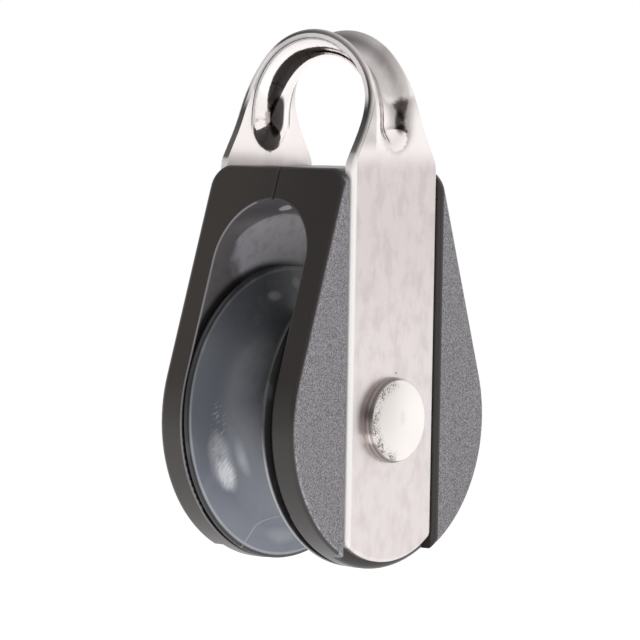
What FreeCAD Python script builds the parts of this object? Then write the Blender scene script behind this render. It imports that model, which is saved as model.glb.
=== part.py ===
import FreeCAD, Part

import math
import os

from FreeCAD import Vector

# Single pulley block: two moulded cheeks, a grooved sheave, and one stainless strap
# bent over the top into a thimble eye. All lengths are in millimetres.
# The origin is the middle of the axle. +X runs along the axle, +Z points to the eye,
# and the rope leaves the sheave on the -Y and +Y sides.

# Sheave and rope
rope_diameter = 8.0
sheave_diameter = 30.0
sheave_width = 10.8
groove_clearance = 0.2
groove_flank_angle = 20.0
rim_land = 0.4
rim_chamfer = 0.12
hub_radius = 6.0
web_recess_depth = 0.8
web_recess_wall = 3.4

# Axle: rivet, washers and bush
rivet_diameter = 5.0
rivet_head_radius = 4.15
rivet_head_wall = 0.45
rivet_dome_height = 0.4
rivet_head_edge = 0.25
washer_radius = 4.28
washer_thickness = 0.6
washer_chamfer = 0.12
washer_hole_clearance = 0.1
bush_wall = 1.0
running_clearance = 0.05

# Cheeks
side_clearance = 0.6
cheek_web_thickness = 1.95
pad_height = 1.15
rim_overhang = 0.35
cheek_bottom_centre_z = -0.4
flank_angle = 17.6
head_top_z = 25.1
head_corner_radius = 2.3
cheek_edge_radius = 0.7
mouth_roof_centre_z = 15.7
mouth_edge_radius = 0.25
parting_edge_chamfer = 0.2
thrust_boss_radius = 5.2
thrust_clearance = 0.15
peg_radius = 0.8
peg_length = 1.2
peg_offset_y = 4.4
peg_clearance = 0.1
channel_edge_radius = 0.5

# Strap
strap_thickness = 1.0
strap_width = 13.0
strap_channel_gap = 0.25
strap_end_margin = 0.8
strap_bottom_radius = 10.5
strap_corner_radius = 0.8
strap_edge_radius = 0.35
arch_centre_z = 30.1
eye_width = 5.8
neck_flank_angle = 30.0
neck_radius = 16.0
neck_end_rise = 5.9
shoulder_radius = 2.0

# Pressed trough along the eye
trough_half_width_arm = 2.95
trough_half_width_crown = 3.0
trough_depth_arm = 1.35
trough_depth_crown = 2.0
trough_tip_z = 26.6
trough_tip_length = 2.8
trough_tip_softness = 0.14
trough_floor_share = 0.68

# Stations of the pressed sheet: steps along the leg and the arch, and across half the width
leg_station_step = 0.4
arch_station_step = 1.3
half_width_steps = 16
short_step = 0.01

# Smallest differences that count: between places, between sewn edges, and in the trough's depth
same_place = 0.01
sewing_gap = 1e-4
flat_depth = 1e-6

# Sizes that follow from the ones above
sheave_radius = sheave_diameter / 2
mouth_half_width = sheave_width / 2 + side_clearance
channel_floor_x = mouth_half_width + cheek_web_thickness
cheek_outer_x = channel_floor_x + pad_height
channel_half_width = strap_width / 2 + strap_channel_gap
strap_outer_x = channel_floor_x + strap_thickness
sheet_middle_x = channel_floor_x + strap_thickness / 2
quarter_arch = sheet_middle_x * math.pi / 2
rivet_radius = rivet_diameter / 2
rivet_hole_radius = rivet_radius + running_clearance
bush_radius = rivet_hole_radius + bush_wall
bush_hole_radius = bush_radius + running_clearance
washer_outer_x = strap_outer_x + washer_thickness
cheek_bottom_radius = sheave_radius - rim_overhang
cheek_bottom_z = cheek_bottom_centre_z - cheek_bottom_radius
strap_bottom_z = cheek_bottom_z + strap_end_margin

# Margin by which a cutting shape runs past the body that it cuts
overrun = 5.0


def tube(outer_radius, inner_radius, x_from, x_to):
    """A straight tube along X."""
    length = x_to - x_from
    start = Vector(x_from, 0, 0)
    along = Vector(1, 0, 0)
    body = Part.makeCylinder(outer_radius, length, start, along)
    return body.cut(Part.makeCylinder(inner_radius, length, start, along))


def edges_matching(shape, test):
    """The edges whose every end and middle point passes the test."""
    found = []
    for edge in shape.Edges:
        middle = edge.valueAt((edge.FirstParameter + edge.LastParameter) / 2)
        points = [vertex.Point for vertex in edge.Vertexes] + [middle]
        if all(test(point) for point in points):
            found.append(edge)
    return found


def near(value, target):
    """True when two lengths agree closely enough to be the same place on the object."""
    return abs(value - target) < same_place


def turned_to_left(shape):
    """The same body turned half round the vertical axis, on the -X side."""
    return shape.rotated(Vector(0, 0, 0), Vector(0, 0, 1), 180)


# Sheave

def sheave_profile():
    """Half section of the sheave above its axis: rope groove, rims, hub and recessed web."""
    half = sheave_width / 2
    flank = math.radians(groove_flank_angle)
    groove_radius = rope_diameter / 2 + groove_clearance
    lip_x = half - rim_land
    lip_z = sheave_radius - rim_chamfer
    groove_centre_z = lip_z - (lip_x - groove_radius / math.cos(flank)) / math.tan(flank)
    seat_x = groove_radius * math.cos(flank)
    seat_z = groove_centre_z - groove_radius * math.sin(flank)
    root_z = groove_centre_z - groove_radius
    web_x = half - web_recess_depth
    web_top_z = sheave_radius - web_recess_wall
    right_side = [
        Vector(seat_x, 0, seat_z),
        Vector(lip_x, 0, lip_z),
        Vector(lip_x + rim_chamfer, 0, sheave_radius),
        Vector(half - rim_chamfer, 0, sheave_radius),
        Vector(half, 0, lip_z),
        Vector(half, 0, web_top_z),
        Vector(web_x, 0, web_top_z - web_recess_depth),
        Vector(web_x, 0, hub_radius),
        Vector(half, 0, hub_radius),
        Vector(half, 0, bush_hole_radius),
    ]
    left_side = [Vector(-point.x, 0, point.z) for point in reversed(right_side)]
    outline = right_side + left_side
    edges = [Part.makeLine(outline[i], outline[i + 1]) for i in range(len(outline) - 1)]
    seat = Part.Arc(Vector(-seat_x, 0, seat_z), Vector(0, 0, root_z), Vector(seat_x, 0, seat_z))
    edges.append(seat.toShape())
    return Part.Face(Part.Wire(edges))


def make_sheave():
    """Grooved wheel turned about the axle."""
    return sheave_profile().revolve(Vector(0, 0, 0), Vector(1, 0, 0), 360)


# Axle

def make_rivet():
    """Solid axle with a low domed head formed at each end, turned as one profile about X."""
    wall_x = washer_outer_x + rivet_head_wall
    edge_x = wall_x - rivet_head_edge
    edge_z = rivet_head_radius - rivet_head_edge
    bend = rivet_head_edge * math.sqrt(0.5)
    crown_x = wall_x + rivet_dome_height
    dome_radius = (edge_z ** 2 + rivet_dome_height ** 2) / (2 * rivet_dome_height)
    half_chord = edge_z / 2
    dome_middle_x = crown_x - dome_radius + math.sqrt(dome_radius ** 2 - half_chord ** 2)
    right_side = [
        Vector(washer_outer_x, 0, rivet_radius),
        Vector(washer_outer_x, 0, rivet_head_radius),
        Vector(edge_x, 0, rivet_head_radius),
    ]
    left_side = [Vector(-point.x, 0, point.z) for point in reversed(right_side)]
    outline = left_side + right_side
    edges = [Part.makeLine(outline[i], outline[i + 1]) for i in range(len(outline) - 1)]
    for side in (1, -1):
        wall_end = Vector(side * edge_x, 0, rivet_head_radius)
        bend_middle = Vector(side * (edge_x + bend), 0, edge_z + bend)
        dome_start = Vector(side * wall_x, 0, edge_z)
        dome_middle = Vector(side * dome_middle_x, 0, half_chord)
        crown = Vector(side * crown_x, 0, 0)
        edges.append(Part.Arc(wall_end, bend_middle, dome_start).toShape())
        edges.append(Part.Arc(dome_start, dome_middle, crown).toShape())
    edges.append(Part.makeLine(Vector(crown_x, 0, 0), Vector(-crown_x, 0, 0)))
    profile = Part.Face(Part.Wire(Part.__sortEdges__(edges)))
    return profile.revolve(Vector(0, 0, 0), Vector(1, 0, 0), 360)


def make_washer():
    """Thin washer between the strap's +X face and the rivet head."""
    ring = tube(washer_radius, rivet_radius + washer_hole_clearance, strap_outer_x, washer_outer_x)
    rims = edges_matching(ring, lambda p: near(math.hypot(p.y, p.z), washer_radius))
    return ring.makeChamfer(washer_chamfer, [edge for edge in rims if edge.isClosed()])


def make_bush():
    """Spacer tube that the sheave turns on, clamped between the strap's two legs."""
    return tube(bush_radius, rivet_hole_radius, -channel_floor_x, channel_floor_x)


# Cheeks

def flank_half_width(z):
    """Half width of the cheek's outline at a height on its straight flank."""
    angle = math.radians(flank_angle)
    drop = (z - cheek_bottom_centre_z) * math.sin(angle)
    return (cheek_bottom_radius - drop) / math.cos(angle)


def cheek_plate():
    """Solid teardrop from the middle plane to the cheek's outer face, with its edges rounded."""
    angle = math.radians(flank_angle)
    side_y = cheek_bottom_radius * math.cos(angle)
    side_z = cheek_bottom_centre_z + cheek_bottom_radius * math.sin(angle)
    top_y = flank_half_width(head_top_z)
    bottom = Part.Arc(
        Vector(0, side_y, side_z),
        Vector(0, 0, cheek_bottom_z),
        Vector(0, -side_y, side_z),
    ).toShape()
    edges = [
        bottom,
        Part.makeLine(Vector(0, -side_y, side_z), Vector(0, -top_y, head_top_z)),
        Part.makeLine(Vector(0, -top_y, head_top_z), Vector(0, top_y, head_top_z)),
        Part.makeLine(Vector(0, top_y, head_top_z), Vector(0, side_y, side_z)),
    ]
    plate = Part.Face(Part.Wire(edges)).extrude(Vector(cheek_outer_x, 0, 0))
    corner = edges_matching(plate, lambda p: near(p.x, cheek_outer_x) and near(p.z, head_top_z))
    plate = plate.makeFillet(head_corner_radius, corner)

    rim = edges_matching(plate, on_plate_rim)
    return plate.makeFillet(cheek_edge_radius, rim)


def on_plate_rim(p):
    """True on the edge that runs round the outer face and over the head."""
    corner_start_z = head_top_z - head_corner_radius
    if p.z < corner_start_z - same_place:
        return near(p.x, cheek_outer_x)
    return near(abs(p.y), flank_half_width(p.z))


def mouth_cutter():
    """The space between the cheeks on the +X side, with its round roof under the head."""
    depth = cheek_bottom_radius + overrun
    low_z = cheek_bottom_z - overrun
    bend = math.radians(45)
    roof = Part.Arc(
        Vector(mouth_half_width, -depth, mouth_roof_centre_z),
        Vector(
            mouth_half_width * math.cos(bend), -depth, mouth_roof_centre_z + mouth_half_width * math.sin(bend)),
        Vector(0, -depth, mouth_roof_centre_z + mouth_half_width),
    ).toShape()
    edges = [
        Part.makeLine(Vector(0, -depth, low_z), Vector(mouth_half_width, -depth, low_z)),
        Part.makeLine(
            Vector(mouth_half_width, -depth, low_z), Vector(mouth_half_width, -depth, mouth_roof_centre_z)),
        roof,
        Part.makeLine(Vector(0, -depth, mouth_roof_centre_z + mouth_half_width), Vector(0, -depth, low_z)),
    ]
    return Part.Face(Part.Wire(edges)).extrude(Vector(0, 2 * depth, 0))


def channel_cutter():
    """Straight channel for the strap, flared at its mouth so that the pads get a rounded edge."""
    low = Vector(0, 0, cheek_bottom_z - overrun)
    height = head_top_z - cheek_bottom_z + 2 * overrun
    flare_x = cheek_outer_x - channel_edge_radius
    flare_y = channel_half_width + channel_edge_radius
    bend = channel_edge_radius * math.sqrt(0.5)
    far_x = cheek_outer_x + overrun

    def flare(side):
        return Part.Arc(
            low + Vector(flare_x, side * channel_half_width, 0),
            low + Vector(flare_x + bend, side * (flare_y - bend), 0),
            low + Vector(cheek_outer_x, side * flare_y, 0),
        ).toShape()

    def line(x1, y1, x2, y2):
        return Part.makeLine(low + Vector(x1, y1, 0), low + Vector(x2, y2, 0))

    edges = [
        line(channel_floor_x, -channel_half_width, channel_floor_x, channel_half_width),
        line(channel_floor_x, channel_half_width, flare_x, channel_half_width),
        flare(1),
        line(cheek_outer_x, flare_y, far_x, flare_y),
        line(far_x, flare_y, far_x, -flare_y),
        line(far_x, -flare_y, cheek_outer_x, -flare_y),
        flare(-1),
        line(flare_x, -channel_half_width, channel_floor_x, -channel_half_width),
    ]
    return Part.Face(Part.Wire(edges)).extrude(Vector(0, 0, height))


def make_cheek():
    """The +X cheek: pads beside the strap channel, half of the head, thrust boss, peg and socket."""
    cheek = cheek_plate().cut(mouth_cutter())
    mouth_edges = edges_matching(cheek, on_mouth_edge)
    cheek = cheek.makeFillet(mouth_edge_radius, mouth_edges)
    parting_edges = edges_matching(cheek, on_parting_edge)
    cheek = cheek.makeChamfer(parting_edge_chamfer, parting_edges)
    cheek = cheek.cut(channel_cutter())
    rim = edges_matching(
        cheek, lambda p: near(p.x, channel_floor_x) and p.z < strap_bottom_z + strap_bottom_radius and
        near(math.hypot(p.y, p.z - cheek_bottom_centre_z), cheek_bottom_radius))
    cheek = cheek.makeFillet(cheek_edge_radius, rim)
    boss_height = side_clearance - thrust_clearance
    boss = Part.makeCylinder(
        thrust_boss_radius, boss_height, Vector(mouth_half_width - boss_height, 0, 0), Vector(1, 0, 0))
    hole = Part.makeCylinder(bush_hole_radius, cheek_outer_x, Vector(0, 0, 0), Vector(1, 0, 0))
    peg_z = (head_top_z + mouth_roof_centre_z + mouth_half_width) / 2
    peg = Part.makeCylinder(
        peg_radius, 2 * peg_length, Vector(-peg_length, -peg_offset_y, peg_z), Vector(1, 0, 0))
    socket = Part.makeCylinder(
        peg_radius + peg_clearance, peg_length + 2 * peg_clearance, Vector(0, peg_offset_y, peg_z), Vector(1, 0, 0))
    return cheek.fuse([boss, peg]).cut(hole).cut(socket).removeSplitter()


def on_mouth_edge(p):
    """True on the edges where the mouth breaks out of the cheek's outline."""
    if abs(p.y) < mouth_edge_radius:
        return False
    if p.z <= mouth_roof_centre_z:
        return near(p.x, mouth_half_width)
    return near(math.hypot(p.x, p.z - mouth_roof_centre_z), mouth_half_width)


def on_parting_edge(p):
    """True on the edges of the parting face that show on the front, the back and the top."""
    roof_z = mouth_roof_centre_z + mouth_half_width
    return near(p.x, 0) and p.z > roof_z + mouth_edge_radius / 2


# Strap

def strap_half_width(rise):
    """Half width of the pressed strap at a distance along the sheet above the foot of the arch.

    Up the strap it is the plain leg, a rounded shoulder, a straight flank, and a hollow arc
    that runs out at the eye's own width."""
    slope = math.radians(neck_flank_angle)
    eye_half = eye_width / 2
    leg_half = strap_width / 2
    below_end = neck_end_rise - rise
    arc_reach = neck_radius * math.sin(slope)
    if below_end <= 0:
        return eye_half
    if below_end <= arc_reach:
        return eye_half + neck_radius - math.sqrt(neck_radius ** 2 - below_end ** 2)
    flank = eye_half + neck_radius * (1 - math.cos(slope)) + (below_end - arc_reach) * math.tan(slope)
    excess = flank - leg_half + shoulder_trim()
    if excess <= 0:
        return flank
    if excess >= 2 * shoulder_trim():
        return leg_half
    return flank - excess ** 2 / (4 * shoulder_trim())


def shoulder_trim():
    """Half width that the shoulder's rounding takes off each side of its corner."""
    slope = math.radians(neck_flank_angle)
    return 2 * shoulder_radius * math.tan(slope / 2) * math.tan(slope) / 2


def leg_top_z():
    """Height where the plain leg ends and the shoulder of the neck begins."""
    slope = math.radians(neck_flank_angle)
    arc_reach = neck_radius * math.sin(slope)
    arc_rise = neck_radius * (1 - math.cos(slope))
    flank_rise = strap_width / 2 - eye_width / 2 - arc_rise + shoulder_trim()
    return arch_centre_z + neck_end_rise - arc_reach - flank_rise / math.tan(slope)


def trough_size(distance_from_crown):
    """Half width and depth of the pressed trough at a distance along the sheet from the crown."""
    tip = quarter_arch + arch_centre_z - trough_tip_z
    inside = (tip - distance_from_crown) / trough_tip_length
    if inside <= 0:
        return 0.0, 0.0
    t = min(inside, 1.0)
    eased = t * t / (t + trough_tip_softness) * (1 + trough_tip_softness)
    along = min(distance_from_crown / quarter_arch, 1.0)
    blend = along * along * (3 - 2 * along)
    half_width = trough_half_width_crown + (trough_half_width_arm - trough_half_width_crown) * blend
    depth = trough_depth_crown + (trough_depth_arm - trough_depth_crown) * blend
    fill = eased * (2 - eased)
    return half_width * math.sqrt(fill), depth * fill


def trough_arcs(half_width, depth):
    """Turn of the trough's side, and the summed radii of its floor and lip."""
    turn = 2 * math.atan2(depth, half_width)
    return turn, half_width / math.sin(turn)


def trough_point(arc_length, half_width, depth):
    """Place across and depth at an arc length from the middle of the trough's section.

    The section is a round floor followed by a reverse arc that runs out flat into the lip."""
    if depth < flat_depth:
        return arc_length, 0.0
    turn, radius = trough_arcs(half_width, depth)
    floor_radius = trough_floor_share * radius
    lip_radius = radius - floor_radius
    if arc_length <= floor_radius * turn:
        angle = arc_length / floor_radius
        return floor_radius * math.sin(angle), depth - floor_radius * (1 - math.cos(angle))
    if arc_length <= radius * turn:
        angle = turn - (arc_length - floor_radius * turn) / lip_radius
        return half_width - lip_radius * math.sin(angle), lip_radius * (1 - math.cos(angle))
    return half_width + arc_length - radius * turn, 0.0


def sheet_frame(distance):
    """A point on the middle of the unpressed sheet, and its outward direction.

    The distance runs along the sheet from the crown, positive down the +X leg."""
    travelled = abs(distance)
    angle = math.copysign(min(travelled, quarter_arch) / sheet_middle_x, distance)
    outward = Vector(math.sin(angle), 0, math.cos(angle))
    foot = Vector(0, 0, arch_centre_z - max(travelled - quarter_arch, 0.0))
    return foot + outward * sheet_middle_x, outward


def middle_surface_point(distance, share):
    """Point on the middle of the pressed sheet.

    The share runs from -1 to 1 along the bent section, up to where its edge rounding begins."""
    base, outward = sheet_frame(distance)
    half_width, depth = trough_size(abs(distance))
    reach = strap_half_width(quarter_arch - abs(distance)) - strap_edge_radius
    if depth >= flat_depth:
        turn, radius = trough_arcs(half_width, depth)
        reach += radius * turn - half_width
    across, sunk = trough_point(abs(share) * reach, half_width, depth)
    return base - outward * sunk + Vector(0, math.copysign(across, share), 0)


def station_distances():
    """Distances from the crown of the sections: close on the legs, wider round the arch."""
    leg_length = arch_centre_z - leg_top_z()
    leg_steps = math.ceil(leg_length / leg_station_step)
    arch_steps = math.ceil(quarter_arch / arch_station_step)
    half = [quarter_arch * i / arch_steps for i in range(arch_steps + 1)]
    half += [quarter_arch + leg_length * i / leg_steps for i in range(1, leg_steps + 1)]
    return [-d for d in reversed(half[1:])] + half


def surface_normal(distance, share):
    """Outward normal of the middle surface, from two short steps on it."""
    high = min(share + short_step, 1.0)
    low = max(share - short_step, -1.0)
    ahead = middle_surface_point(distance + short_step, share)
    along = ahead - middle_surface_point(distance - short_step, share)
    across = middle_surface_point(distance, high) - middle_surface_point(distance, low)
    normal = along.cross(across)
    normal.normalize()
    return normal


def section_rows(distance):
    """Control points of one section: outer skin, inner skin, and the edge on each side in Y."""
    half_thickness = strap_thickness / 2
    outer = []
    inner = []
    for i in range(-half_width_steps, half_width_steps + 1):
        share = i / half_width_steps
        point = middle_surface_point(distance, share)
        normal = surface_normal(distance, share)
        outer.append(point + normal * half_thickness)
        inner.append(point - normal * half_thickness)
    edges = []
    for side, top, bottom in ((-1, outer[0], inner[0]), (1, outer[-1], inner[-1])):
        beside = middle_surface_point(distance, side) - middle_surface_point(distance, side * (1 - short_step))
        beside *= strap_edge_radius / beside.Length
        below = top + beside + (bottom - top) * (strap_edge_radius / strap_thickness)
        edges.append([top, top + beside, below, bottom + beside])
    inner = [edges[0][3]] + inner + [edges[1][3]]
    return outer, inner, edges[0], edges[1]


def clamped_knots(control_points, degree):
    """Evenly spaced knots, and their counts, of a curve that meets its end points."""
    spans = control_points - degree
    return list(range(spans + 1)), [degree + 1] + [1] * (spans - 1) + [degree + 1]


def net_face(net, weights=None):
    """A smooth face on a control net, cubic along it and up to cubic across it."""
    across_degree = min(3, len(net[0]) - 1)
    along_knots, along_counts = clamped_knots(len(net), 3)
    across_knots, across_counts = clamped_knots(len(net[0]), across_degree)
    row_weights = weights or [1.0] * len(net[0])
    surface = Part.BSplineSurface()
    surface.buildFromPolesMultsKnots(
        net, along_counts, across_counts, along_knots, across_knots, False, False, 3, across_degree,
        [row_weights] * len(net))
    return surface.toShape()


def make_eye():
    """The neck and arch of the strap: pressed skins, rounded outer edges and straight cut edges."""
    sections = [section_rows(distance) for distance in station_distances()]
    quarter_round = [1.0, math.sqrt(0.5), 1.0]
    faces = [net_face([section[0] for section in sections]), net_face([section[1] for section in sections])]
    for side in (2, 3):
        faces.append(net_face([section[side][:3] for section in sections], quarter_round))
        faces.append(net_face([section[side][2:] for section in sections]))
    faces += [end_cap(sections[0][2], sections[0][3]), end_cap(sections[-1][2], sections[-1][3])]
    shell = Part.Compound(faces)
    shell.sewShape(sewing_gap)
    return Part.Solid(shell.Shells[0])


def end_cap(left_edge, right_edge):
    """The flat section at an end of the neck: a bar with its two outer corners rounded."""
    def corner(edge):
        centre = edge[0] + edge[2] - edge[1]
        return Part.Arc(edge[0], centre + (edge[1] - centre) * math.sqrt(0.5), edge[2]).toShape()

    return Part.Face(Part.Wire([
        Part.makeLine(left_edge[0], right_edge[0]),
        corner(right_edge),
        Part.makeLine(right_edge[2], right_edge[3]),
        Part.makeLine(right_edge[3], left_edge[3]),
        Part.makeLine(left_edge[3], left_edge[2]),
        corner(left_edge),
    ]))


def make_leg():
    """The flat +X leg, with its curved bottom end."""
    half = strap_width / 2
    centre_z = strap_bottom_z + strap_bottom_radius
    corner_z = centre_z - math.sqrt(strap_bottom_radius ** 2 - half ** 2)
    top_z = leg_top_z()
    x = channel_floor_x
    end = Part.Arc(Vector(x, half, corner_z), Vector(x, 0, strap_bottom_z), Vector(x, -half, corner_z))
    edges = [
        end.toShape(),
        Part.makeLine(Vector(x, -half, corner_z), Vector(x, -half, top_z)),
        Part.makeLine(Vector(x, -half, top_z), Vector(x, half, top_z)),
        Part.makeLine(Vector(x, half, top_z), Vector(x, half, corner_z)),
    ]
    leg = Part.Face(Part.Wire(edges)).extrude(Vector(strap_thickness, 0, 0))
    corners = edges_matching(leg, lambda p: near(abs(p.y), half) and near(p.z, corner_z))
    leg = leg.makeFillet(strap_corner_radius, corners)
    rim = edges_matching(leg, lambda p: near(p.x, strap_outer_x))
    return leg.makeFillet(strap_edge_radius, [edge for edge in rim if not near(edge.BoundBox.ZMin, top_z)])


def make_strap():
    """One sheet folded over the eye, with a leg down each cheek and a hole for the axle in each."""
    leg = make_leg()
    strap = make_eye().fuse([leg, turned_to_left(leg)])
    hole = Part.makeCylinder(
        rivet_hole_radius, 2 * cheek_outer_x, Vector(-cheek_outer_x, 0, 0), Vector(1, 0, 0))
    return strap.cut(hole)


def build_nodes():
    """Every piece by its node name."""
    cheek = make_cheek()
    washer = make_washer()
    return {
        "strap": make_strap(),
        "right_cheek": cheek,
        "left_cheek": turned_to_left(cheek),
        "sheave": make_sheave(),
        "bush": make_bush(),
        "axle_rivet": make_rivet(),
        "right_washer": washer,
        "left_washer": turned_to_left(washer),
    }


def main():
    """Write one file per piece."""
    os.makedirs("parts", exist_ok=True)
    for name, shape in build_nodes().items():
        shape.exportStep(f"parts/{name}.step")


main()
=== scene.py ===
"""Looks of a single pulley block: satin strap with a polished eye, moulded cheeks, sheave and worn rivet.

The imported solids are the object. Each gets a procedural material that reads Object coordinates, in
millimetres from the middle of the axle: X runs along the axle and Z up to the eye.
"""

import math

import bpy
import numpy as np
from bpy.props import FloatProperty, FloatVectorProperty, PointerProperty
from mathutils import Matrix, Vector


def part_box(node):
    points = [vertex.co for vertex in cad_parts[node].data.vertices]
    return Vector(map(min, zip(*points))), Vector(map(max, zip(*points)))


bl_info = {
    "name": "Single pulley block",
    "version": (1, 0, 0),
    "blender": (4, 5, 0),
    "location": "View3D > Sidebar > Pulley block",
    "description": "Finishes the parts of a small single pulley block and sets its studio",
    "category": "Object",
}

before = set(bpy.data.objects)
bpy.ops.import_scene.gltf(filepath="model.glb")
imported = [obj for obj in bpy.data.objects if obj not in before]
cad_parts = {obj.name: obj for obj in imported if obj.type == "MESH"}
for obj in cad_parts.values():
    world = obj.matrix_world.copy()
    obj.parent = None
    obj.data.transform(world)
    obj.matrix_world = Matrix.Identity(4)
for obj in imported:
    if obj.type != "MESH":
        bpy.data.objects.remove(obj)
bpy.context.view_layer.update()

# Places on the object, in millimetres, that the finishes follow
MM = 1000.0
STRAP_FACE_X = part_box("strap")[1].x * MM
STRAP_HALF_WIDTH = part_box("strap")[1].y * MM
CHEEK_FACE_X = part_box("right_cheek")[1].x * MM
CHEEK_TOP_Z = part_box("right_cheek")[1].z * MM
SHEAVE_FACE_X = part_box("sheave")[1].x * MM
SHEAVE_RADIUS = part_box("sheave")[1].z * MM
HEAD_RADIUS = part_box("axle_rivet")[1].z * MM
HEAD_WALL = 0.45
HEAD_EDGE_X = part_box("right_washer")[1].x * MM + HEAD_WALL
MOUTH_HALF_WIDTH = 6.0
MOUTH_ROOF_Z = 15.7
RIM_LAND = 0.52
CREST_X = SHEAVE_FACE_X - RIM_LAND
CREST_RADII = (14.2, 14.5)
ARCH_CENTRE_Z = 30.1
EYE_INNER_RADIUS = 7.95
CREASE_Y = 2.85

# Marks as a middle and a reach along each axis, in millimetres
SPECK = ((STRAP_FACE_X, 0.63, 4.67), (0.12, 0.12, 0.12))
# Painted shade in the hollow under the bulge, and a painted dark reflection at the tip of the right arm's
# trough
HOLLOW = ((-6.7, -0.4, 30.1), (1.4, 1.15, 2.6))
TROUGH_TIP = ((8.2, 1.42, 29.75), (1.5, 0.55, 1.6))
# Where the mouth is worn grey and carries painted light
MOUTH_WEAR_AND_LIGHT = ((0.0, -1.6, 15.0), (40.0, 6.6, 5.25))
CHIP = ((-3.0, -2.8, 20.85), (1.2, 1.8, 1.0))
# Painted glints on the sheave
TOP_GLINT = ((-4.4, 0.45, 13.1), (0.8, 1.0, 0.9))
FRONT_GLINT = ((-4.1, -3.2, 11.9), (0.8, 1.3, 0.7))
DULL_PATCH = ((CHEEK_FACE_X, 0.1, 0.3), (9.0, 0.6, 1.1))

# Painted highlights and scratches in the groove: turn from the bottom towards the front in radians, radius,
# and place along the axle
SHINE = ((1.19, 11.95, -3.8), (0.36, 1.5, 1.4))
SHINE_CORE = ((1.04, 11.8, -3.8), (0.21, 1.15, 1.4))
SCRATCHES = ((1.5, 11.6, -3.9), (0.27, 1.2, 1.2))
SECOND_SHINE = ((1.12, 10.2, -2.6), (0.3, 0.7, 0.9))
LOW_GLOW = ((0.12, 12.6, -4.2), (0.3, 1.3, 1.5))
STROKE_RADIUS = 12.0
SEAM_TURN = 0.4485
SEAM_BEND = 0.0464
SEAM_RADIUS = 12.8

# Lamps: name, place and size in metres, and the setting that holds the power
LAMPS = (
    ("key", (0.45, 0.15, 0.5), 0.4, "key_power"),
    ("front", (0.36, -0.32, 0.05), 0.25, "front_power"),
    ("low front", (0.067, -0.2, -0.135), 0.12, "low_power"),
)


def colour(name, description, value):
    """A colour property in linear values."""
    return FloatVectorProperty(
        name=name, description=description, default=value, subtype="COLOR", size=3, min=0.0, max=1.0)


def share(name, description, value):
    """A plain number from 0 to 1."""
    return FloatProperty(
        name=name, description=description, default=value, subtype="FACTOR", min=0.0, max=1.0)


def length(name, description, value):
    """A length in metres."""
    return FloatProperty(name=name, description=description, default=value, unit="LENGTH", precision=4)


def angle(name, description, degrees):
    """An angle, given in degrees."""
    return FloatProperty(name=name, description=description, default=math.radians(degrees), subtype="ANGLE")


def number(name, description, value):
    """A plain number from 0 up."""
    return FloatProperty(name=name, description=description, default=value, min=0.0)


def power(name, description, value):
    """A lamp's power in watts."""
    return FloatProperty(name=name, description=description, default=value, unit="POWER", min=0.0)


class StrapFinish(bpy.types.PropertyGroup):
    """Stainless strap: satin legs, polished eye."""
    steel: colour("Steel", "Warm grey of the stainless sheet", (0.79, 0.726, 0.722))
    polished: colour("Polished steel", "Lighter grey of the polished eye", (0.84, 0.785, 0.775))
    # Colour of the painted highlights on the lip inside the eye and along the edges of the legs
    satin: colour("Satin edge", "Rubbed pale steel on the edges and beside the bulge", (0.93, 0.9, 0.89))
    # Colour of the cloudy stains on the legs, and of the painted shade that darkens them towards the top
    stain_and_shade: colour("Stain", "Cloudy handling marks on the legs", (0.62, 0.56, 0.555))
    # Colour of the painted dark reflection on the outside of the eye's right arm
    painted_reflection: colour("Film", "Dull film on the outside of the eye's right arm", (0.56, 0.525, 0.51))
    speck: colour("Speck", "Small dark speck above the rivet", (0.06, 0.05, 0.05))
    leg_roughness: share("Leg roughness", "Satin finish of the flat legs", 0.34)
    eye_roughness: share("Eye roughness", "Polished finish of the pressed eye", 0.09)
    # Colour of the painted shade: a dark line along the crease, the hollow under the bulge and the trough's
    # tip
    crease: colour("Crease", "Dark line beside the bulge, and tarnish at its lower end", (0.055, 0.05, 0.048))
    grain_depth: length("Drawing mark depth", "Depth of the fine marks that pressing leaves", 0.000004)


class CheekFinish(bpy.types.PropertyGroup):
    """Moulded cheeks: spark-textured pads, smooth rims, dull mouth."""
    rim: colour("Smooth rim", "Smooth glossy plastic round the pads and on the head", (0.031, 0.027, 0.0255))
    pale_rim: colour("Pale rim", "Slightly faded rim on the left cheek", (0.046, 0.04, 0.037))
    pad: colour("Textured pad", "Pale bloom of the spark-textured pads", (0.235, 0.225, 0.24))
    # Worn grey of the mouth walls, which also carries painted light and the painted highlight on the mouth
    # edge
    mouth: colour("Mouth", "Rubbed grey walls of the mouth", (0.375, 0.36, 0.39))
    # Dark colour of the joint between the cheeks, and of the painted shadow on the walls close to the
    # sheave's rim
    grime: colour("Grime", "Dark joint between the cheeks, and dark walls close to the sheave's rim",
                  (0.003, 0.003, 0.003))
    # Also the colour of the painted highlight along the lower front border of the pads
    chip: colour("Chip", "Fresh plastic in a chip under the roof of the mouth", (0.75, 0.75, 0.78))
    rim_roughness: share("Rim roughness", "Gloss of the smooth plastic", 0.3)
    pad_roughness: share("Pad roughness", "Matt spark texture", 0.62)
    spark_pitch: length("Spark pitch", "Spacing of the bumps in the spark texture", 0.00011)
    spark_depth: length("Spark depth", "Depth of the spark texture", 0.00006)
    fleck_dark: number("Dark flecks", "Dark flecks of the pads, as a share of the pad's colour", 0.5)
    fleck_light: number("Light flecks", "Light flecks of the pads, as a share of the pad's colour", 1.55)
    sheen: share("Sheen", "Strength of the plastic's reflections", 0.42)


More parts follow.
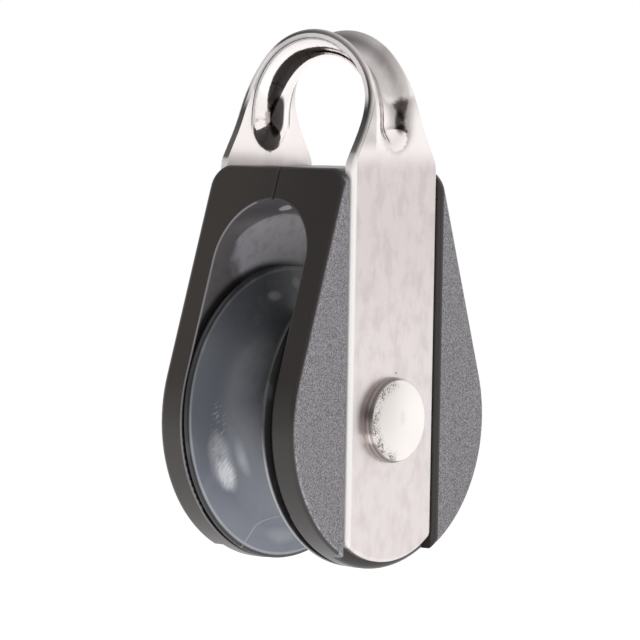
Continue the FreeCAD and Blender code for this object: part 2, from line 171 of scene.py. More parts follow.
class SheaveFinish(bpy.types.PropertyGroup):
    """Moulded sheave with painted light and shade, and painted highlights in the groove."""
    body: colour("Sheave", "Bluish dark grey plastic", (0.114, 0.122, 0.141))
    # Colours of the painted light at the lower side and of the painted shade at the upper side
    pale: colour("Pale side", "Paler plastic at the lower side", (0.225, 0.235, 0.285))
    shade: colour("Dark side", "Darker plastic at the upper side", (0.028, 0.029, 0.03))
    rim: colour("Rim", "Darker land and outer faces of the rims", (0.03, 0.03, 0.032))
    # Colour of the painted highlights in the groove, of its scratches and of its mould seam
    scuff_and_highlight: colour("Scuff", "Pale rubbing marks in the groove", (0.72, 0.73, 0.77))
    roughness: share("Roughness", "Gloss of the groove", 0.32)


class AxleFinish(bpy.types.PropertyGroup):
    """Bright rivet head and washer, worn and pitted at the edge."""
    steel: colour("Rivet steel", "Bright hammered steel", (0.88, 0.84, 0.81))
    pit: colour("Pit", "Dark pitting and grime", (0.16, 0.12, 0.11))
    roughness: share("Roughness", "Finish of the dome", 0.3)
    # Colour of the painted dark reflection on the upper front of the head's wall and of the washer
    ring: colour("Ring", "Dull brown-grey on the upper front of the head's wall and of the washer",
                 (0.19, 0.16, 0.155))
    pit_size: length("Pit size", "Size of the pits at the edge of the dome", 0.00013)
    pit_depth: length("Pit depth", "Depth of the pits", 0.00001)


class StudioSettings(bpy.types.PropertyGroup):
    """Camera, floor and soft light."""
    azimuth: angle("Azimuth", "Camera's turn round the object", 41.37)
    elevation: angle("Elevation", "Camera's height above the horizon", 4.3)
    roll: angle("Roll", "Camera's lean about its view", 1.0)
    distance: length("Distance", "From the axle's middle to the camera", 0.402)
    aim_right: length("Aim right", "Middle of the view, to the right of the axle's middle", -0.00039)
    aim_up: length("Aim up", "Middle of the view, above the axle's middle", 0.00956)
    lens: number("Lens", "Focal length on a 36 mm sensor, in millimetres", 223.1)
    floor_drop: length("Floor drop", "How far below the axle the floor lies", 0.22)
    floor_size: length("Floor size", "Side of the square floor", 3.0)
    floor: colour("Floor", "Pale floor", (0.8, 0.8, 0.8))
    floor_glow: number("Floor glow", "Brightness added to the floor for the camera and in reflections", 0.6)
    front_azimuth: angle("Front azimuth", "Middle of the dim front of the room", 20.0)
    front_tint: colour("Front tint", "Brown cast of the dim front in reflections", (1.0, 0.86, 0.82))
    room: number("Room", "Brightness that reflections find at the sides of the room", 0.83)
    room_fall: number("Room fall", "How much dimmer the front is than the sides, and the back brighter", 0.62)
    room_limit: number("Room limit", "Most that reflections find at the back of the room", 1.2)
    front_dim: number("Front dim", "Share of that brightness left at the dim front", 0.3)
    table: number("Table", "Brightness that reflections find just below the horizon in front", 1.15)
    ceiling: number("Ceiling", "Brightness that reflections find overhead", 0.6)
    ceiling_fall: number("Ceiling fall", "How much brighter the ceiling is on the bright side", 0.6)
    bright_side: angle("Bright side", "Turn of the ceiling's bright side from the axle's direction", 30.0)
    ambient: number("Ambient", "Light from all round on matt surfaces", 0.62)
    key_power: power("Key power", "Soft lamp high on the right", 1.0)
    front_power: power("Front power", "Soft lamp in front, to the camera's right", 0.5)
    low_power: power("Low power", "Soft lamp low in front", 0.15)


# Shader building blocks

def add(tree, kind, inputs=None, **settings):
    """Adds a node, sets its options, and links or sets each named or numbered input."""
    node = tree.nodes.new(kind)
    for key, value in settings.items():
        setattr(node, key, value)
    for key, value in (inputs or {}).items():
        if isinstance(value, bpy.types.NodeSocket):
            tree.links.new(value, node.inputs[key])
        else:
            node.inputs[key].default_value = value
    return node


def maths(tree, operation, first, second=0.0, third=0.0):
    """One Math node."""
    return add(tree, "ShaderNodeMath", {0: first, 1: second, 2: third}, operation=operation).outputs[0]


def ramp(tree, value, low, high, to_low=0.0, to_high=1.0):
    """Smooth step of a value from low to high."""
    return add(tree, "ShaderNodeMapRange",
               {"Value": value, "From Min": low, "From Max": high, "To Min": to_low, "To Max": to_high},
               interpolation_type="SMOOTHSTEP").outputs[0]


def blend(tree, factor, first, second):
    """Mix of two colours."""
    node = add(tree, "ShaderNodeMix", data_type="RGBA")
    for index, value in ((0, factor), (6, first), (7, second)):
        if isinstance(value, bpy.types.NodeSocket):
            tree.links.new(value, node.inputs[index])
        else:
            node.inputs[index].default_value = (*value, 1.0) if index else value
    return node.outputs[2]


def noise(tree, place, scale, detail=2.0, rough=0.5):
    """Soft noise from 0 to 1, with its scale in repeats for each millimetre."""
    return add(tree, "ShaderNodeTexNoise",
               {"Vector": place, "Scale": scale, "Detail": detail, "Roughness": rough}).outputs["Fac"]


def stretched(tree, place, factors):
    """The place with each axis multiplied."""
    return add(tree, "ShaderNodeVectorMath", {0: place, 1: factors}, operation="MULTIPLY").outputs[0]


def millimetres(tree):
    """Object coordinates in millimetres, whole and by axis."""
    place = add(tree, "ShaderNodeTexCoord").outputs["Object"]
    scaled = stretched(tree, place, (MM, MM, MM))
    split = add(tree, "ShaderNodeSeparateXYZ", {0: scaled}).outputs
    return scaled, split[0], split[1], split[2]


def product(tree, *values):
    """All the values multiplied."""
    result = values[0]
    for value in values[1:]:
        result = maths(tree, "MULTIPLY", result, value)
    return result


def total(tree, *values):
    """All the values added."""
    result = values[0]
    for value in values[1:]:
        result = maths(tree, "ADD", result, value)
    return result


def largest(tree, *values):
    """The largest of the values."""
    result = values[0]
    for value in values[1:]:
        result = maths(tree, "MAXIMUM", result, value)
    return result


def opposite(tree, value):
    """One less the value."""
    return maths(tree, "SUBTRACT", 1.0, value)


def absolute(tree, value):
    """The value without its sign."""
    return maths(tree, "ABSOLUTE", value)


def between(tree, factor, first, second):
    """Mix of two numbers."""
    return add(tree, "ShaderNodeMix", {0: factor, 2: first, 3: second}, data_type="FLOAT").outputs[0]


def joined(tree, first, second=0.0, third=0.0):
    """Three numbers as one vector."""
    return add(tree, "ShaderNodeCombineXYZ", {0: first, 1: second, 2: third}).outputs[0]


def hypotenuse(tree, first, second):
    """Length of the slanted side over two sides at a right angle."""
    return maths(tree, "SQRT", maths(tree, "ADD", product(tree, first, first), product(tree, second, second)))


def away(tree, place, centre, reach):
    """Distance from a centre, in units of the reach along each axis."""
    offset = add(tree, "ShaderNodeVectorMath", {0: place, 1: centre}, operation="SUBTRACT").outputs[0]
    scaled = add(tree, "ShaderNodeVectorMath", {0: offset, 1: reach}, operation="DIVIDE").outputs[0]
    return add(tree, "ShaderNodeVectorMath", {0: scaled}, operation="LENGTH").outputs["Value"]


def spot(tree, place, mark, core, strength=1.0):
    """A soft spot: full strength within the core, a share of the mark's reach, and 0 at that reach."""
    return ramp(tree, away(tree, place, *mark), core, 1.0, strength, 0.0)


def band(tree, value, middle, core, reach, strength=1.0):
    """A soft line: its strength within the core of a middle value, falling to 0 at the reach."""
    return ramp(tree, absolute(tree, maths(tree, "SUBTRACT", value, middle)), core, reach, strength, 0.0)


def round_top(tree, x, z, centre_z):
    """Distance from the upright middle plane, and above a centre from its line along the block."""
    rise = maths(tree, "MAXIMUM", maths(tree, "SUBTRACT", z, centre_z), 0.0)
    return hypotenuse(tree, x, rise)


def left_hand(tree, x, y):
    """1 on the left half of each side of the block, as seen from outside, and 0 on the right half."""
    return ramp(tree, product(tree, x, y), -1.0, 1.0, 1.0, 0.0)


def group(name, inputs, outputs, fill):
    """A node group made once, with named sockets, filled by a function of its tree, inputs and outputs."""
    found = bpy.data.node_groups.get(name)
    if found:
        return found
    tree = bpy.data.node_groups.new(name, "ShaderNodeTree")
    for label, kind, value in inputs:
        socket = tree.interface.new_socket(label, in_out="INPUT", socket_type=kind)
        if value is not None:
            socket.default_value = value
    for label, kind in outputs:
        tree.interface.new_socket(label, in_out="OUTPUT", socket_type=kind)
    source = tree.nodes.new("NodeGroupInput")
    sink = tree.nodes.new("NodeGroupOutput")
    fill(tree, source.outputs, sink.inputs)
    return tree


def use(tree, shared, inputs):
    """Places a shared group in a material."""
    return add(tree, "ShaderNodeGroup", inputs, node_tree=shared).outputs


def handling_marks():
    """Cloudy stains and fine upright rubbing marks on worn smooth surfaces."""
    def fill(tree, given, out):
        low = stretched(tree, given["Place"], (1.0, 1.0, 0.6))
        upright = stretched(tree, given["Place"], (3.0, 3.0, 0.12))
        cloud = noise(tree, low, given["Cloud scale"], 4.0, 0.6)
        streak = noise(tree, upright, given["Streak scale"], 3.0, 0.55)
        tree.links.new(ramp(tree, cloud, 0.42, 0.68), out["Cloud"])
        tree.links.new(streak, out["Streak"])
    return group(
        "Handling marks",
        [("Place", "NodeSocketVector", None), ("Cloud scale", "NodeSocketFloat", 0.3),
         ("Streak scale", "NodeSocketFloat", 1.0)],
        [("Cloud", "NodeSocketFloat"), ("Streak", "NodeSocketFloat")], fill)


def new_material(name, nodes):
    """A node material on every slot of the named solids, with its tree and shader."""
    material = bpy.data.materials.new(name)
    material.use_nodes = True
    tree = material.node_tree
    shader = tree.nodes["Principled BSDF"]
    for node in nodes:
        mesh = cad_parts[node].data
        if not mesh.materials:
            mesh.materials.append(material)
        for i in range(len(mesh.materials)):
            mesh.materials[i] = material
    return tree, shader


def bump(tree, shader, height, depth_mm, normal=None):
    """Bump of a height from 0 to 1, its full depth in millimetres, on the surface's or another normal."""
    node = add(tree, "ShaderNodeBump", {"Height": height, "Distance": depth_mm / MM, "Strength": 1.0})
    if normal:
        tree.links.new(normal, node.inputs["Normal"])
    tree.links.new(node.outputs[0], shader.inputs["Normal"])


# The strap

def strap_painted_reflection(tree, marks, x, y, z):
    """Painted dark reflection on the outside of the eye's right arm: in its trough, and on its front flange
    below.
    """
    trough = product(tree, ramp(tree, x, 4.0, 5.5), ramp(tree, absolute(tree, y), 2.3, 2.9, 1.0, 0.0),
                     ramp(tree, z, 30.8, 32.5))
    flange = product(tree, ramp(tree, x, 7.5, 8.3), ramp(tree, y, -3.1, -2.9, 1.0, 0.0),
                     ramp(tree, z, 26.5, 28.0), ramp(tree, z, 32.5, 34.0, 1.0, 0.0))
    return product(tree, largest(tree, trough, flange), ramp(tree, marks["Cloud"], 0.0, 1.0, 1.0, 0.75))


def strap_highlights(tree, x, y, z, leg, inner):
    """Painted highlights on the lip inside the eye, and along the edges of the legs, broad at the left one.
    """
    beside = absolute(tree, y)
    narrow = ramp(tree, beside, CREASE_Y + 0.05, CREASE_Y + 0.2, 1.0, 0.0)
    lip = product(tree, ramp(tree, beside, CREASE_Y - 0.55, CREASE_Y - 0.25),
                  largest(tree, narrow, ramp(tree, z, 30.5, 32.5)), inner)
    broad = product(tree, ramp(tree, beside, STRAP_HALF_WIDTH - 0.8, STRAP_HALF_WIDTH - 0.55),
                    left_hand(tree, x, y))
    thin = ramp(tree, beside, STRAP_HALF_WIDTH - 0.3, STRAP_HALF_WIDTH - 0.15)
    return largest(tree, lip, product(tree, largest(tree, broad, thin), leg))


class PULLEY_OT_finish_strap(bpy.types.Operator):
    """Satin legs with cloudy marks, running into the polished eye, with painted highlights and painted shade
    """
    bl_idname = "pulley.finish_strap"
    bl_label = "Finish strap"

    def execute(self, context):
        look = context.scene.pulley_strap
        tree, shader = new_material("Strap steel", ["strap"])
        place, x, y, z = millimetres(tree)
        marks = use(tree, handling_marks(), {"Place": place, "Cloud scale": 0.55, "Streak scale": 1.6})
        eye = ramp(tree, z, CHEEK_TOP_Z - 0.5, CHEEK_TOP_Z + 3.0)
        leg = opposite(tree, eye)
        # Painted shade: the legs grow darker towards the top, on top of the cloudy stains
        upper = ramp(tree, z, 4.0, 19.0, 0.0, 0.5)
        cloudy = total(tree, product(tree, marks["Cloud"], 0.5), product(tree, marks["Streak"], 0.2))
        stain_and_shade = product(tree, total(tree, cloudy, upper), leg)
        steel = blend(tree, eye, blend(tree, stain_and_shade, look.steel, look.stain_and_shade), look.polished)
        # Painted dark reflection on the outside of the eye's right arm
        steel = blend(tree, strap_painted_reflection(tree, marks, x, y, z), steel, look.painted_reflection)
        arch = round_top(tree, x, z, ARCH_CENTRE_Z)
        inner = product(tree, ramp(tree, arch, EYE_INNER_RADIUS + 0.4, EYE_INNER_RADIUS + 0.45, 1.0, 0.0),
                        ramp(tree, z, 28.5, 29.5))
        # Painted highlights on the lip inside the eye and along the leg edges, in pale and less metallic
        # steel
        wear_and_painted_light = strap_highlights(tree, x, y, z, leg, inner)
        # Painted shade: a dark line along the crease and the hollow under the bulge, and a painted dark
        # reflection at the trough's tip
        crease = product(tree, band(tree, absolute(tree, y), CREASE_Y, 0.02, 0.08), inner)
        hollow = spot(tree, place, HOLLOW, 0.7)
        painted_shade = largest(tree, crease, hollow, spot(tree, place, TROUGH_TIP, 0.45, 0.9))
        steel = blend(tree, painted_shade, blend(tree, wear_and_painted_light, steel, look.satin), look.crease)
        steel = blend(tree, spot(tree, place, SPECK, 0.5), steel, look.speck)
        tree.links.new(steel, shader.inputs["Base Color"])
        matt = total(tree, look.leg_roughness, product(tree, marks["Streak"], 0.08))
        tree.links.new(between(tree, eye, matt, look.eye_roughness), shader.inputs["Roughness"])
        tree.links.new(maths(tree, "MULTIPLY_ADD", wear_and_painted_light, -0.75, 1.0), shader.inputs["Metallic"])
        bump(tree, shader, noise(tree, place, 3.0, 3.0, 0.6), look.grain_depth * MM)
        return {"FINISHED"}


# The cheeks

def pad_area(tree, x, y, z):
    """The textured pads and the channel's left wall, without the wall's top and a line by the right pad. The
    left wall's pad colour is painted light, and the line by the right pad keeps the dark rim colour as a
    painted shadow.
    """
    across = absolute(tree, x)
    beside = absolute(tree, y)
    left = left_hand(tree, x, y)
    face = ramp(tree, across, CHEEK_FACE_X - 0.3, CHEEK_FACE_X - 0.1)
    # Painted light: the channel's left wall takes the pad's colour
    wall = product(tree, ramp(tree, beside, STRAP_HALF_WIDTH + 0.85, STRAP_HALF_WIDTH + 0.95, 1.0, 0.0),
                   ramp(tree, across, CHEEK_FACE_X - 1.1, CHEEK_FACE_X - 0.9), left,
                   ramp(tree, z, CHEEK_TOP_Z - 1.5, CHEEK_TOP_Z - 0.6, 1.0, 0.0))
    # Painted shadow: a line of the right pad beside the strap keeps the dark rim colour
    beyond = ramp(tree, beside, STRAP_HALF_WIDTH + 0.9, STRAP_HALF_WIDTH + 1.0)
    return product(tree, largest(tree, face, wall), largest(tree, left, beyond))


def pad_colour(tree, look, place, spark, x, y, z):
    """Flecks that follow the spark texture, with a dotted painted highlight along the lower front border in
    the chip colour.
    """
    flecks = blend(tree, ramp(tree, spark, 0.36, 0.66), tuple(c * look.fleck_dark for c in look.pad),
                   tuple(c * look.fleck_light for c in look.pad))
    # Painted highlight along the lower front border of the pads, dotted by noise
    border_highlight = product(tree, band(tree, absolute(tree, x), CHEEK_FACE_X - 0.2, 0.04, 0.12, 0.5),
                    ramp(tree, z, 2.0, -4.0), ramp(tree, y, 0.0, -1.0),
                    ramp(tree, noise(tree, place, 2.5, 2.0), 0.35, 0.6))
    return blend(tree, border_highlight, flecks, look.chip)


def mouth_wear_and_light(tree, place, z):
    """Where the mouth is worn grey, with painted light: a cloudy patch round the roof, with a softer border
    further down.
    """
    cloud = maths(tree, "SUBTRACT", noise(tree, place, 0.4, 3.0, 0.6), 0.5)
    soft = ramp(tree, z, 18.0, 15.0, 0.02, 0.4)
    border = total(tree, away(tree, place, *MOUTH_WEAR_AND_LIGHT), product(tree, cloud, soft, 1.6))
    wear_and_painted_light = ramp(tree, border, opposite(tree, soft), 1.02, 1.0, 0.22)
    return product(tree, wear_and_painted_light, ramp(tree, noise(tree, place, 0.9, 2.0, 0.5), 0.5, 0.7, 1.0, 0.8))


def smooth_colour(tree, look, place, x, y, z):
    """Smooth rims and head, a worn grey mouth with painted light, dark joint, painted shadow in the gap, a
    painted highlight on the mouth edge, and a chip in the roof.
    """
    across = absolute(tree, x)
    mouth = round_top(tree, x, z, MOUTH_ROOF_Z)
    inside = ramp(tree, mouth, MOUTH_HALF_WIDTH + 0.02, MOUTH_HALF_WIDTH + 0.14, 1.0, 0.0)
    plain = blend(tree, ramp(tree, x, 7.0, -8.0), look.rim, look.pale_rim)
    # The mouth walls: worn grey with painted light
    smooth = blend(tree, product(tree, inside, mouth_wear_and_light(tree, place, z)), plain, look.mouth)
    parting = product(tree, ramp(tree, across, 0.07, 0.16, 1.0, 0.0),
                      ramp(tree, z, MOUTH_ROOF_Z, MOUTH_ROOF_Z + 1.0))
    # Painted shadow on the mouth walls close to the sheave's rim
    off_axle = hypotenuse(tree, y, z)
    gap = product(tree, ramp(tree, off_axle, SHEAVE_RADIUS, SHEAVE_RADIUS + 0.8, 0.9, 0.0), inside)
    smooth = blend(tree, largest(tree, parting, gap), smooth, look.grime)
    # Painted highlight along the mouth's edge, on the left cheek
    edge = product(tree, band(tree, mouth, MOUTH_HALF_WIDTH + 0.12, 0.03, 0.1, 0.5),
                   ramp(tree, x, -1.5, 1.5, 1.0, 0.0), ramp(tree, across, 2.0, 2.1))
    smooth = blend(tree, edge, smooth, look.mouth)
    ragged = total(tree, away(tree, place, *CHIP), product(tree, noise(tree, place, 5.0, 3.0, 0.7), 0.9))
    return blend(tree, ramp(tree, ragged, 0.85, 1.05, 1.0, 0.0), smooth, look.chip)


class PULLEY_OT_finish_cheeks(bpy.types.Operator):
    """Spark-textured pads, smooth dark rims and a worn grey mouth with painted light"""
    bl_idname = "pulley.finish_cheeks"
    bl_label = "Finish cheeks"

    def execute(self, context):
        look = context.scene.pulley_cheek
        tree, shader = new_material("Cheek plastic", ["left_cheek", "right_cheek"])
        place, x, y, z = millimetres(tree)
        pad = pad_area(tree, x, y, z)
        spark = noise(tree, stretched(tree, place, (1.0, 1.2, 0.7)), 1.0 / (look.spark_pitch * MM), 1.5, 0.6)
        smooth = smooth_colour(tree, look, place, x, y, z)
        textured = pad_colour(tree, look, place, spark, x, y, z)
        tree.links.new(blend(tree, pad, smooth, textured), shader.inputs["Base Color"])
        tree.links.new(between(tree, pad, look.rim_roughness, look.pad_roughness), shader.inputs["Roughness"])
        shader.inputs["Specular IOR Level"].default_value = look.sheen
        bump(tree, shader, product(tree, spark, pad), look.spark_depth * MM)
        return {"FINISHED"}


# The sheave

def sheave_body(tree, look, x, z, cloud):
    """Bluish plastic with dark rims, and painted light and shade: paler at the bottom, darker towards the
    right rim and the top.
    """
    body = blend(tree, ramp(tree, z, 1.0, -12.0), look.body, look.pale)
    slant = total(tree, product(tree, x, 1.6), product(tree, z, 0.55), product(tree, cloud, 1.5))
    body = blend(tree, ramp(tree, slant, -4.8, 3.4), body, look.shade)
    body = blend(tree, ramp(tree, z, 6.0, 13.0, 0.0, 0.4), body, look.shade)
    return blend(tree, ramp(tree, absolute(tree, x), CREST_X, CREST_X + 0.06), body, look.rim)


def groove_marks(tree, place, x, turn, radius):
    """Painted highlights in the groove: the brushed shine with its scratches, a second shine, a low glow and
    two glints.
    """
    spread = product(tree, turn, STROKE_RADIUS)
    with_stroke = product(tree, maths(tree, "SUBTRACT", spread, radius), 0.7)
    over_stroke = product(tree, total(tree, spread, radius), 3.5)
    strokes = noise(tree, joined(tree, with_stroke, over_stroke), 1.3, 2.0, 0.6)
    spin = joined(tree, turn, radius, x)
    halo = product(tree, spot(tree, spin, SHINE, 0.3), 0.45)
    shine = total(tree, halo, spot(tree, spin, SHINE_CORE, 0.2, 0.95))
    return largest(
        tree,
        product(tree, shine, ramp(tree, strokes, 0.38, 0.6, 0.55, 1.0)),
        product(tree, spot(tree, spin, SCRATCHES, 0.4, 0.35), ramp(tree, strokes, 0.55, 0.66)),
        spot(tree, spin, SECOND_SHINE, 0.1, 0.26),
        spot(tree, spin, LOW_GLOW, 0.1, 0.28),
        spot(tree, place, TOP_GLINT, 0.3, 0.25),
        spot(tree, place, FRONT_GLINT, 0.3, 0.2))


def sheave_lines(tree, x, z, turn, radius):
    """Painted highlight lines on both crests and on the right rim's land, and the fine mould seam low in the
    groove.
    """
    outermost = ramp(tree, radius, *CREST_RADII)
    crest = product(tree, band(tree, absolute(tree, x), CREST_X, 0.02, 0.08), outermost,
                    ramp(tree, z, 9.0, -9.0, 0.1, 0.4))
    right_land = product(tree, band(tree, x, SHEAVE_FACE_X - 0.25, 0.1, 0.25), outermost,
                         ramp(tree, z, 1.0, -6.0, 0.0, 0.6))
    below = maths(tree, "MAXIMUM", maths(tree, "SUBTRACT", SEAM_RADIUS, radius), 0.0)
    off_seam = total(tree, turn, product(tree, below, below, SEAM_BEND), -SEAM_TURN)
    seam = product(tree, ramp(tree, product(tree, absolute(tree, off_seam), radius), 0.03, 0.09, 0.45, 0.0),
                   ramp(tree, x, 0.0, 0.5, 1.0, 0.0))
    return largest(tree, crest, right_land, seam)


class PULLEY_OT_finish_sheave(bpy.types.Operator):
    """Bluish moulded sheave with painted light and shade, and painted highlights and scratches in the groove
    """
    bl_idname = "pulley.finish_sheave"
    bl_label = "Finish sheave"

    def execute(self, context):
        look = context.scene.pulley_sheave
        tree, shader = new_material("Sheave plastic", ["sheave"])
        place, x, y, z = millimetres(tree)
        marks = use(tree, handling_marks(), {"Place": place, "Cloud scale": 0.35, "Streak scale": 0.8})
        cloud = maths(tree, "SUBTRACT", marks["Cloud"], 0.5)
        radius = hypotenuse(tree, y, z)
        turn = maths(tree, "ARCTAN2", product(tree, y, -1.0), product(tree, z, -1.0))
        wear_and_painted_light = groove_marks(tree, place, x, turn, radius)
        lines = sheave_lines(tree, x, z, turn, radius)
        # Painted highlights and scratches in the groove, painted lines on the crests, and the mould seam
        scuffs_and_highlights = maths(tree, "MULTIPLY_ADD", cloud, 0.08, largest(tree, wear_and_painted_light, lines))
        body = sheave_body(tree, look, x, z, cloud)
        tree.links.new(blend(tree, scuffs_and_highlights, body, look.scuff_and_highlight), shader.inputs["Base Color"])
        rough = total(tree, look.roughness, product(tree, marks["Cloud"], 0.12))
        tree.links.new(rough, shader.inputs["Roughness"])
        return {"FINISHED"}


# The axle

def dome_wear(tree, look, place, y, radius, dome):
    """Pits and grime on the front edge of the dome, as patchy clusters that thicken towards the edge."""
    edge = ramp(tree, radius, HEAD_RADIUS - 1.7, HEAD_RADIUS - 0.3)
    grit = noise(tree, place, 1.0 / (look.pit_size * MM), 2.0, 0.6)
    patchy = ramp(tree, noise(tree, place, 0.9, 1.0, 0.5), 0.35, 0.65, 0.3, 1.0)
    pits = ramp(tree, total(tree, grit, product(tree, edge, patchy, 0.19)), 0.6, 0.72)
    return product(tree, pits, edge, ramp(tree, y, -1.6, 0.6, 1.0, 0.0), dome)


def ring_shade(tree, y, z, outward, dome):
    """Painted dark reflection on the front of the head's wall and the washer, lighter where it catches the
    light low down.
    """
    lit = band(tree, z, -1.7, 0.2, 0.7, 0.55)
    front = ramp(tree, y, -0.5, 1.5, 0.85, 0.0)
    outside = ramp(tree, outward, CHEEK_FACE_X - 0.1, CHEEK_FACE_X)
    return product(tree, opposite(tree, dome), front, opposite(tree, lit), outside)


def dome_normal(tree, x, radius, dome):
    """The surface's normal, and straight along the axle at the pole of each dome."""
    pole = product(tree, ramp(tree, radius, 0.55, 0.8, 1.0, 0.0), dome)
    surface = add(tree, "ShaderNodeNewGeometry").outputs["Normal"]
    straight = joined(tree, maths(tree, "SIGN", x))
    return add(tree, "ShaderNodeMix", {0: pole, 4: surface, 5: straight}, data_type="VECTOR").outputs[1]


class PULLEY_OT_finish_axle(bpy.types.Operator):
    """Bright rivet heads and washers with pitted, grimy edges, and the plain bush"""
    bl_idname = "pulley.finish_axle"
    bl_label = "Finish axle"

    def execute(self, context):
        look = context.scene.pulley_axle
        tree, shader = new_material("Axle steel", ["axle_rivet", "left_washer", "right_washer", "bush"])
        place, x, y, z = millimetres(tree)
        radius = hypotenuse(tree, y, z)
        outward = absolute(tree, x)
        dome = ramp(tree, outward, HEAD_EDGE_X - 0.06, HEAD_EDGE_X)
        worn = dome_wear(tree, look, place, y, radius, dome)
        # Painted shade: the dome darkens slightly towards its front
        dim = product(tree, ramp(tree, y, -3.0, 1.5, 0.13, 0.0), dome)
        steel = blend(tree, largest(tree, ring_shade(tree, y, z, outward, dome), dim), look.steel, look.ring)
        grime = largest(tree, worn, spot(tree, place, DULL_PATCH, 0.3, 0.1))
        tree.links.new(blend(tree, grime, steel, look.pit), shader.inputs["Base Color"])
        tree.links.new(total(tree, look.roughness, product(tree, worn, 0.2)), shader.inputs["Roughness"])
        shader.inputs["Metallic"].default_value = 1.0
        bump(tree, shader, opposite(tree, worn), look.pit_depth * MM, dome_normal(tree, x, radius, dome))
        return {"FINISHED"}


# The stage

def floor_mesh(side, height):
    """A square grid of two by two points at one height."""
    half = side / 2
    corners = np.array([(-half, -half, height), (half, -half, height),
                        (half, half, height), (-half, half, height)])
    mesh = bpy.data.meshes.new("floor")
    mesh.from_pydata(corners.tolist(), [], [(0, 1, 2, 3)])
    return mesh


def floor_material(look):
    """Pale matt floor that meets the white background for the camera and in reflections."""
    material = bpy.data.materials.new("Floor")
    material.use_nodes = True
    tree = material.node_tree
    tree.nodes.clear()
    path = add(tree, "ShaderNodeLightPath").outputs
    seen = maths(tree, "MAXIMUM", path["Is Camera Ray"], path["Is Glossy Ray"])
    matt = add(tree, "ShaderNodeBsdfDiffuse", {"Color": (*look.floor, 1.0)})
    glow = add(tree, "ShaderNodeEmission",
               {"Color": (1.0, 1.0, 1.0, 1.0), "Strength": product(tree, seen, look.floor_glow)})
    both = add(tree, "ShaderNodeAddShader", {0: matt.outputs[0], 1: glow.outputs[0]})
    add(tree, "ShaderNodeOutputMaterial", {"Surface": both.outputs[0]})
    return material


def along(tree, toward, direction):
    """How far a direction points along another one."""
    node = add(tree, "ShaderNodeVectorMath", {0: toward, 1: direction}, operation="DOT_PRODUCT")
    return node.outputs["Value"]


def view_axes(look):
    """The camera's backward, right and up directions."""
    a, e, roll = look.azimuth, look.elevation, look.roll
    back = Vector((math.sin(a) * math.cos(e), -math.cos(a) * math.cos(e), math.sin(e)))
    level = Vector((math.cos(a), math.sin(a), 0.0))
    upright = back.cross(level)
    right = level * math.cos(roll) + upright * math.sin(roll)
    return back, right, back.cross(right)


def add_camera(look):
    """A long lens at the photograph's place, aimed a little above the axle."""
    back, right, up = view_axes(look)
    place = back * look.distance
    aim = right * look.aim_right + up * look.aim_up
    back = (place - aim).normalized()
    right = (right - back * right.dot(back)).normalized()
    up = back.cross(right)
    camera = bpy.data.objects.new("camera", bpy.data.cameras.new("camera"))
    camera.data.lens = look.lens
    camera.data.clip_end = 10.0
    turn = Matrix((right, up, back)).transposed()
    camera.matrix_world = Matrix.Translation(place) @ turn.to_4x4()
    bpy.context.scene.collection.objects.link(camera)
    bpy.context.scene.camera = camera


def add_lamp(name, place, size, watts):
    """A square soft lamp that faces the object."""
    lamp = bpy.data.objects.new(name, bpy.data.lights.new(name, "AREA"))
    lamp.data.size = size
    lamp.data.energy = watts
    lamp.matrix_world = Matrix.Translation(place) @ Vector(place).to_track_quat("Z", "Y").to_matrix().to_4x4()
    lamp.visible_glossy = False
    bpy.context.scene.collection.objects.link(lamp)


def room_brightness(tree, look, toward, wedge, facing, height, upward):
    """What reflections find: a room that brightens from front to back, a lit table edge, and the ceiling."""
    around = maths(tree, "MULTIPLY_ADD", facing, -look.room_fall, look.room)
    around = maths(tree, "MINIMUM", around, look.room_limit)
    dim = maths(tree, "MULTIPLY_ADD", wedge, look.front_dim - 1.0, 1.0)
    around = product(tree, around, dim, ramp(tree, height, 0.0, 0.3, 1.0, 0.75))
    table = product(tree, ramp(tree, height, -0.03, -0.005, 1.0, 0.0), ramp(tree, facing, 0.55, 0.68))
    around = between(tree, table, around, look.table)
    side = (math.cos(look.bright_side), math.sin(look.bright_side), 0.0)
    sideways = along(tree, toward, side)
    overhead = maths(tree, "MULTIPLY_ADD", sideways, look.ceiling_fall, look.ceiling)
    return between(tree, upward, around, overhead)


def light_room(look):
    """A white room whose front, around the camera, is a dim brown, as only reflections show."""
    world = bpy.data.worlds.new("Studio")
    bpy.context.scene.world = world
    world.use_nodes = True
    tree = world.node_tree
    tree.nodes.clear()
    toward = add(tree, "ShaderNodeTexCoord").outputs["Generated"]
    facing = along(tree, toward, (math.sin(look.front_azimuth), -math.cos(look.front_azimuth), 0.0))
    height = add(tree, "ShaderNodeSeparateXYZ", {0: toward}).outputs[2]
    wedge = ramp(tree, maths(tree, "MULTIPLY_ADD", height, 2.0, facing), 0.86, 1.05)
    upward = ramp(tree, height, 0.3, 0.42)
    bright = room_brightness(tree, look, toward, wedge, facing, height, upward)
    path = add(tree, "ShaderNodeLightPath").outputs
    matt = product(tree, path["Is Diffuse Ray"], look.ambient)
    shiny = product(tree, path["Is Glossy Ray"], bright)
    strength = total(tree, largest(tree, path["Is Camera Ray"], path["Is Transmission Ray"], shiny), matt)
    cast = product(tree, path["Is Glossy Ray"], wedge, opposite(tree, upward))
    tint = blend(tree, cast, (1.0, 1.0, 1.0), look.front_tint)
    sky = add(tree, "ShaderNodeBackground", {"Color": tint, "Strength": strength})
    add(tree, "ShaderNodeOutputWorld", {"Surface": sky.outputs[0]})


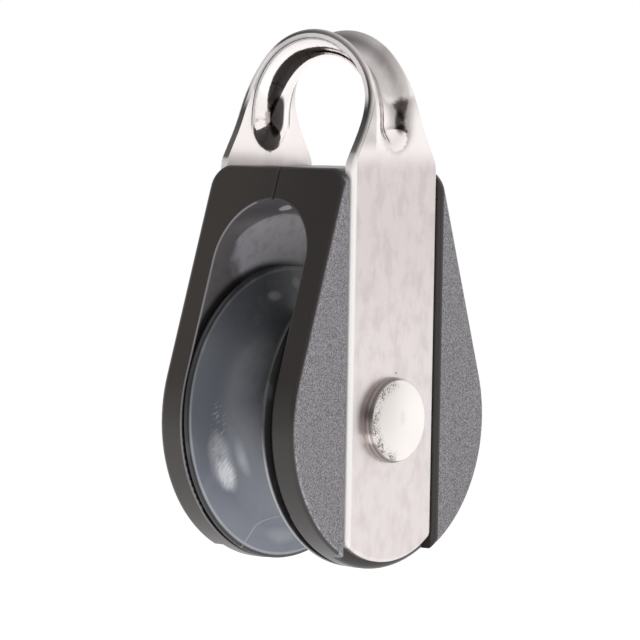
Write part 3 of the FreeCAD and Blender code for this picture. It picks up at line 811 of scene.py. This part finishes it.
class PULLEY_OT_set_stage(bpy.types.Operator):
    """Pale floor, soft light and the camera"""
    bl_idname = "pulley.set_stage"
    bl_label = "Set stage"

    def execute(self, context):
        look = context.scene.pulley_studio
        floor = bpy.data.objects.new("floor", floor_mesh(look.floor_size, -look.floor_drop))
        floor.data.materials.append(floor_material(look))
        context.scene.collection.objects.link(floor)
        light_room(look)
        for name, place, size, setting in LAMPS:
            add_lamp(name, place, size, getattr(look, setting))
        add_camera(look)
        context.scene.view_settings.view_transform = "Standard"
        return {"FINISHED"}


class PULLEY_PT_panel(bpy.types.Panel):
    """Sizes and colours of the block, with a button for each piece"""
    bl_idname = "PULLEY_PT_panel"
    bl_label = "Pulley block"
    bl_space_type = "VIEW_3D"
    bl_region_type = "UI"
    bl_category = "Pulley block"

    def draw(self, context):
        for group_name, operators in STEPS:
            box = self.layout.box()
            settings = getattr(context.scene, group_name)
            for key in settings.__annotations__:
                box.prop(settings, key)
            for operator in operators:
                box.operator(operator.bl_idname)


STEPS = (
    ("pulley_strap", (PULLEY_OT_finish_strap,)),
    ("pulley_cheek", (PULLEY_OT_finish_cheeks,)),
    ("pulley_sheave", (PULLEY_OT_finish_sheave,)),
    ("pulley_axle", (PULLEY_OT_finish_axle,)),
    ("pulley_studio", (PULLEY_OT_set_stage,)),
)
SETTINGS = {
    "pulley_strap": StrapFinish,
    "pulley_cheek": CheekFinish,
    "pulley_sheave": SheaveFinish,
    "pulley_axle": AxleFinish,
    "pulley_studio": StudioSettings,
}
CLASSES = (
    *SETTINGS.values(),
    PULLEY_OT_finish_strap,
    PULLEY_OT_finish_cheeks,
    PULLEY_OT_finish_sheave,
    PULLEY_OT_finish_axle,
    PULLEY_OT_set_stage,
    PULLEY_PT_panel,
)


def register():
    """Adds the classes and their settings."""
    for cls in CLASSES:
        bpy.utils.register_class(cls)
    for name, settings in SETTINGS.items():
        setattr(bpy.types.Scene, name, PointerProperty(type=settings))


def unregister():
    """Takes the settings and classes away."""
    for name in SETTINGS:
        delattr(bpy.types.Scene, name)
    for cls in reversed(CLASSES):
        bpy.utils.unregister_class(cls)


def main():
    """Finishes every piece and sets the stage."""
    register()
    bpy.ops.pulley.finish_strap()
    bpy.ops.pulley.finish_cheeks()
    bpy.ops.pulley.finish_sheave()
    bpy.ops.pulley.finish_axle()
    bpy.ops.pulley.set_stage()


if __name__ == "__main__":
    main()
